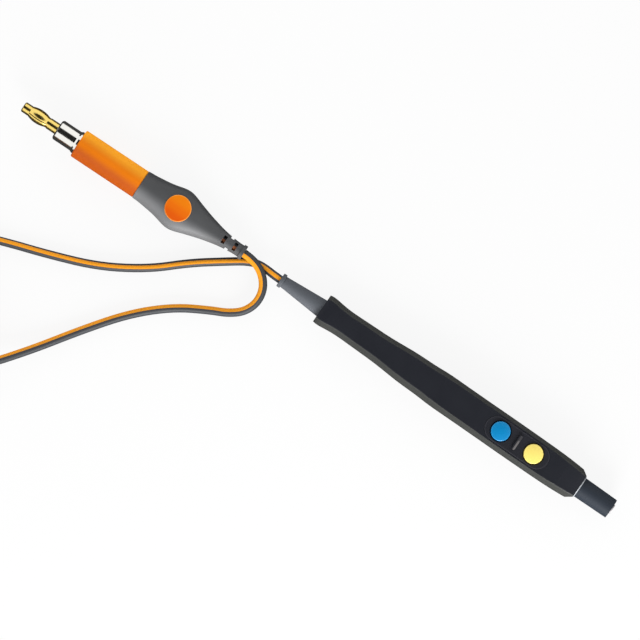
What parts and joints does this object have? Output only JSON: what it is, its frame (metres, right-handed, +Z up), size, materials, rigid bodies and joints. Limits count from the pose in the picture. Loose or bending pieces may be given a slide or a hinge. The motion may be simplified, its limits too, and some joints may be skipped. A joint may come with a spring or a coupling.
{
  "type": "electrosurgical pencil",
  "caption": "Hand-switched electrosurgical pencil with a cut button, a coagulation button, an electrode chuck, a strain-relief boot, a coiled cord and a coaxial plug.",
  "frame": {"origin": "on the resting plane below the middle of the hand piece, boot and chuck included", "axes": "+X from the cord boot towards the electrode chuck, +Z up out of the keypad"},
  "size_m": [0.3152, 0.1326, 0.0156],
  "materials": {
    "casing": "fine matt moulding, dark navy grey",
    "keypad": "fine matt moulding, dark navy grey",
    "blue_cap": "smooth, slightly glossy",
    "yellow_cap": "smooth, slightly glossy",
    "spring_steel": "bright stamped",
    "board": "coated laminate",
    "diode": "moulded",
    "chuck": "smooth, half matt",
    "lining": "turned, off white",
    "contact_metal": "turned",
    "seal": "pale soft ring",
    "boot": "matt grey",
    "cord": "silicone sheath, dark grey with an orange stripe",
    "crimp": "pressed",
    "wire_red": "insulated lead",
    "wire_blue": "insulated lead",
    "grip": "fine matt moulding, mid grey",
    "orange_trim": "smooth, half matt",
    "orange_tube": "smooth",
    "bright_plate": "plated",
    "insulator": "turned",
    "gold_plate": "gold plated",
    "tie": "soft strap"
  },
  "bodies": {
    "hand_piece": {"upper_shell": "casing", "lower_shell": "casing", "keypad_panel": "keypad", "blue_dome": "spring_steel", "yellow_dome": "spring_steel", "circuit_board": "board", "board_diodes": "diode", "chuck_tube": "chuck", "socket_collar": "lining", "contact_sleeve": "contact_metal", "contact_ring": "spring_steel", "nose_seal": "seal", "cord_boot": "boot", "handle_cord_end": "cord", "cord_clamp": "crimp", "active_wire": "wire_red", "signal_wire": "wire_blue", "board_lead": "wire_blue", "cord_handle_leg": "cord", "cord_coil": "cord", "cord_plug_leg": "cord", "cord_tie": "tie", "plug_grip": "grip", "grip_dot": "orange_trim", "plug_tube": "orange_tube", "plug_barrel": "bright_plate", "barrel_insulator": "insulator", "barrel_terminal": "crimp", "plug_pin": "gold_plate", "pin_cage": "gold_plate", "plug_cord_end": "cord", "plug_clamp": "crimp", "pin_wire": "wire_red", "barrel_wire": "wire_blue"},
    "blue_button": {"blue_button": "blue_cap"},
    "yellow_button": {"yellow_button": "yellow_cap"}
  },
  "joints": [
    {"name": "blue_button_press", "type": "slide", "parent": "hand_piece", "child": "blue_button", "axis": [0, 0, -1], "range_m": [0, 0.0008], "stiffness_N_per_m": 1500, "deforming": ["blue_dome"]},
    {"name": "yellow_button_press", "type": "slide", "parent": "hand_piece", "child": "yellow_button", "axis": [0, 0, -1], "range_m": [0, 0.0008], "stiffness_N_per_m": 1500, "deforming": ["yellow_dome"]}
  ]
}
